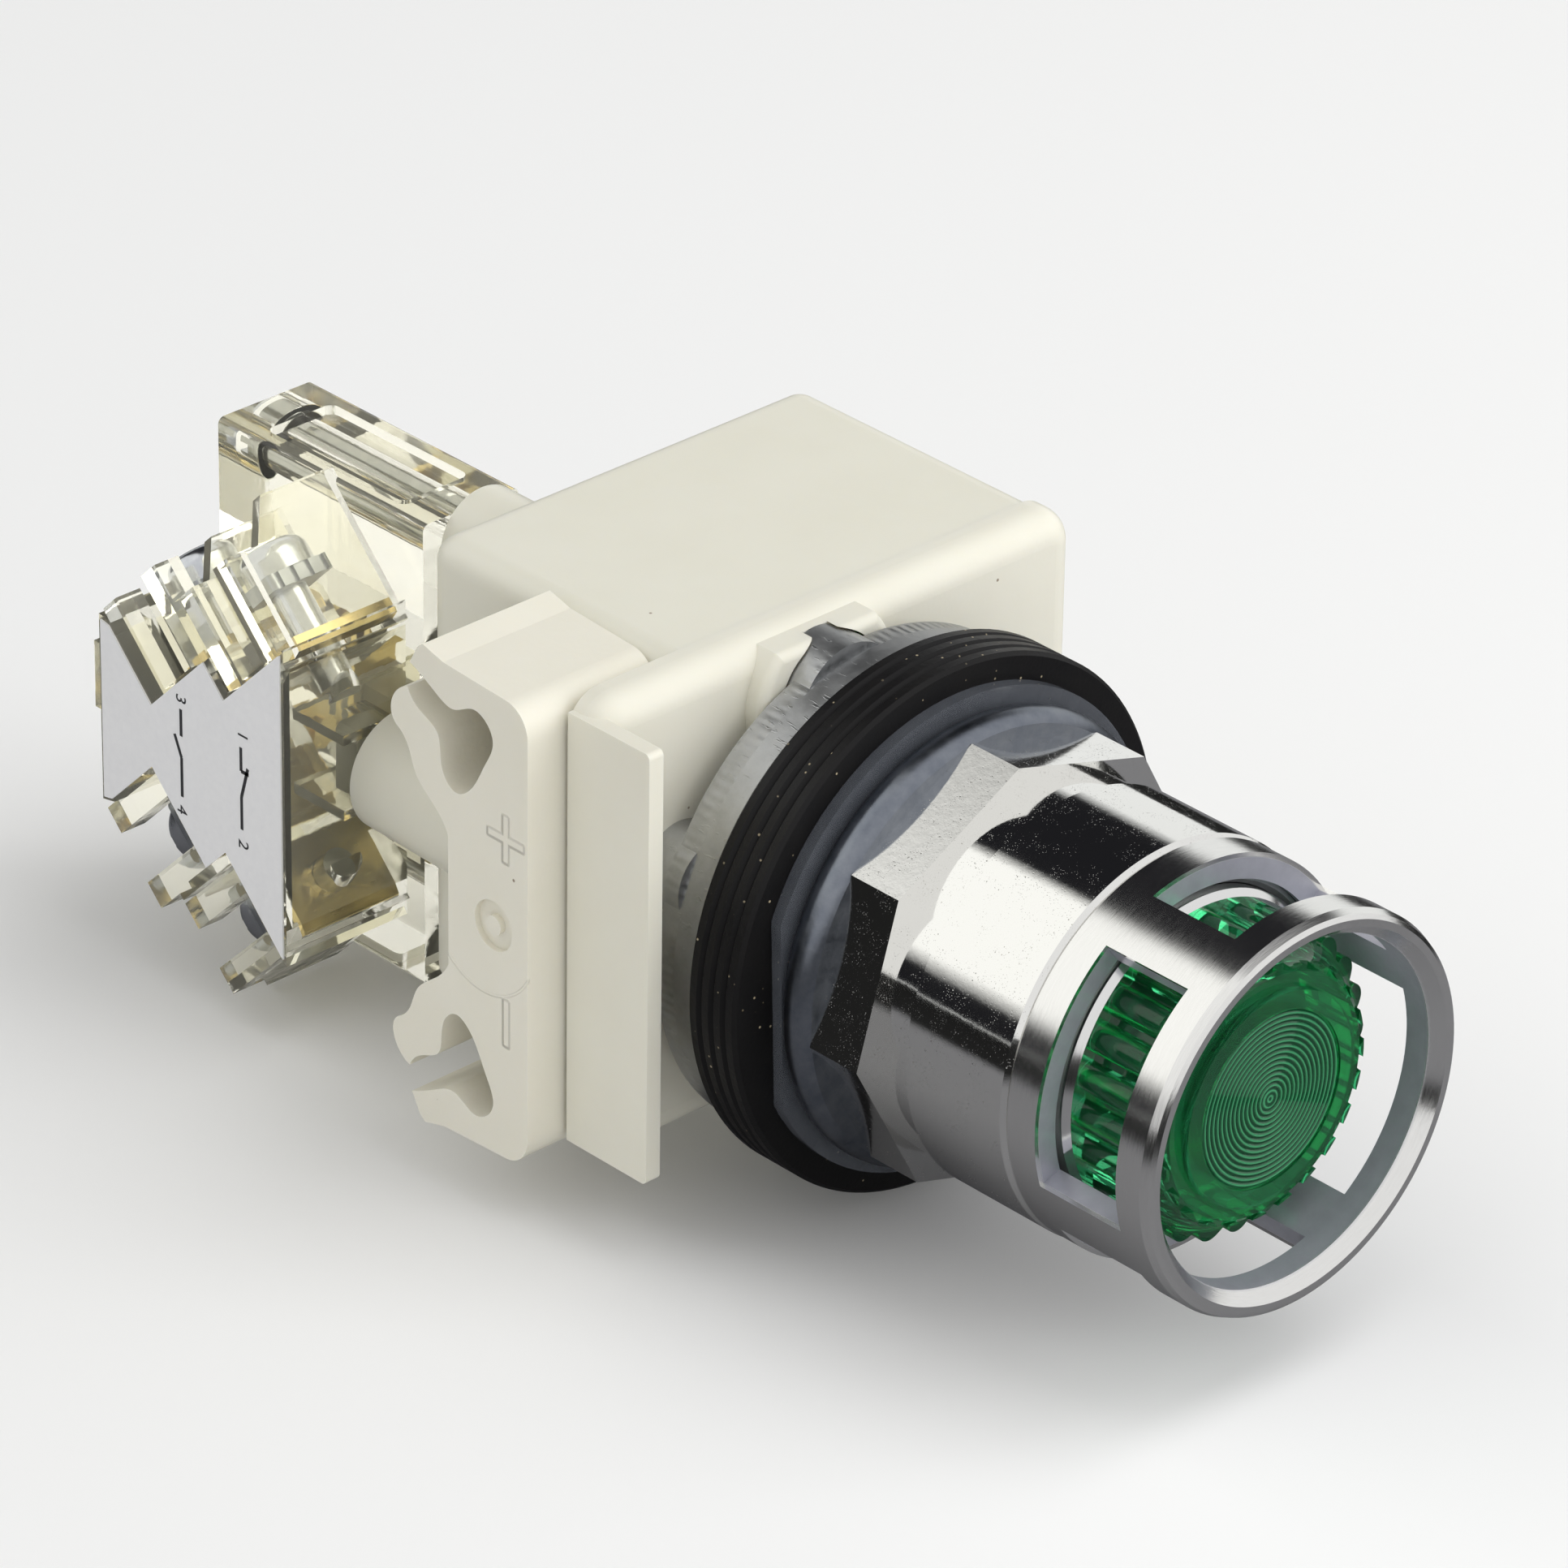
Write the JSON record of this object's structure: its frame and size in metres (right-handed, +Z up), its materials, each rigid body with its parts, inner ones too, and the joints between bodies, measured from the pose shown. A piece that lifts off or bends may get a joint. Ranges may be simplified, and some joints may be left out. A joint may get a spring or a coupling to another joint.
{
  "type": "illuminated push button",
  "caption": "Panel push button: lit fluted lens in a windowed chrome guard, octagonal ring nut and washers, ivory light module with lamp terminals, clear contact block with screw terminals.",
  "frame": {"origin": "On the button's axis, in the plane where the zinc body's flange meets the rubber washers, which is the plane of the panel.", "axes": "-Y points out of the panel to the user, +Y to the wiring side, +Z up, +X to the right seen by the user."},
  "size_m": [0.0532, 0.1094, 0.0464],
  "materials": {
    "zinc": "dull cast zinc",
    "rubber": "matt",
    "clear_washer": "translucent grey",
    "chrome": "bright, slightly pitted",
    "guard_chrome": "finely brushed",
    "skirt_chrome": "bright",
    "green_lens": "translucent green",
    "steel": "zinc plated",
    "terminal_steel": "bright zinc plated",
    "clamp_steel": "dull zinc plated",
    "spring_steel": "plain",
    "brass": "rolled strip",
    "ivory": "moulded",
    "ivory_housing": "moulded",
    "ivory_terminal": "moulded",
    "ivory_inner": "moulded",
    "holder_plastic": "moulded",
    "lamp_metal": "plain",
    "lamp_glass": "clear",
    "board": "laminate",
    "clear_block": "clear, slightly yellow",
    "label": "printed label, blank",
    "slider_plastic": "moulded"
  },
  "bodies": {
    "base": {"operator_body": "zinc", "thrust_ring": "zinc", "rubber_washer_1": "rubber", "rubber_washer_2": "rubber", "rubber_washer_3": "rubber", "rubber_washer_4": "rubber", "clear_washer": "clear_washer", "ring_nut": "chrome", "guard": "guard_chrome", "return_spring": "spring_steel", "lamp_holder": "holder_plastic", "lamp_base": "lamp_metal", "lamp_bulb": "lamp_glass", "lamp_board": "board", "module_cover": "ivory", "module_housing": "ivory_housing", "terminal_block": "ivory_terminal", "lamp_terminal_screws": "steel", "lamp_terminal_plates": "brass", "module_screws": "steel", "block_housing": "clear_block", "block_label": "label", "terminal_screws": "terminal_steel", "clamp_plates": "clamp_steel", "nc_straps": "brass", "no_straps": "brass", "contact_spring": "spring_steel", "block_screws": "steel"},
    "button": {"plunger": "skirt_chrome", "lens": "green_lens", "retaining_clip": "steel", "pusher_bar": "ivory_inner", "push_rod": "ivory_inner"},
    "slider": {"contact_slider": "slider_plastic", "bridge_nc": "brass", "bridge_no": "brass"}
  },
  "joints": [
    {"name": "button_press", "type": "slide", "parent": "base", "child": "button", "axis": [0, 1, 0], "range_m": [0, 0.0035], "stiffness_N_per_m": 1200, "springref_m": -0.002, "deforming": ["return_spring"]},
    {"name": "contact_slide", "type": "slide", "parent": "base", "child": "slider", "axis": [0, 1, 0], "range_m": [0, 0.0035], "stiffness_N_per_m": 300, "springref_m": -0.002, "deforming": ["contact_spring"]}
  ],
  "couplings": [
    {"joint": "contact_slide", "follows": "button_press", "ratio": 1}
  ]
}
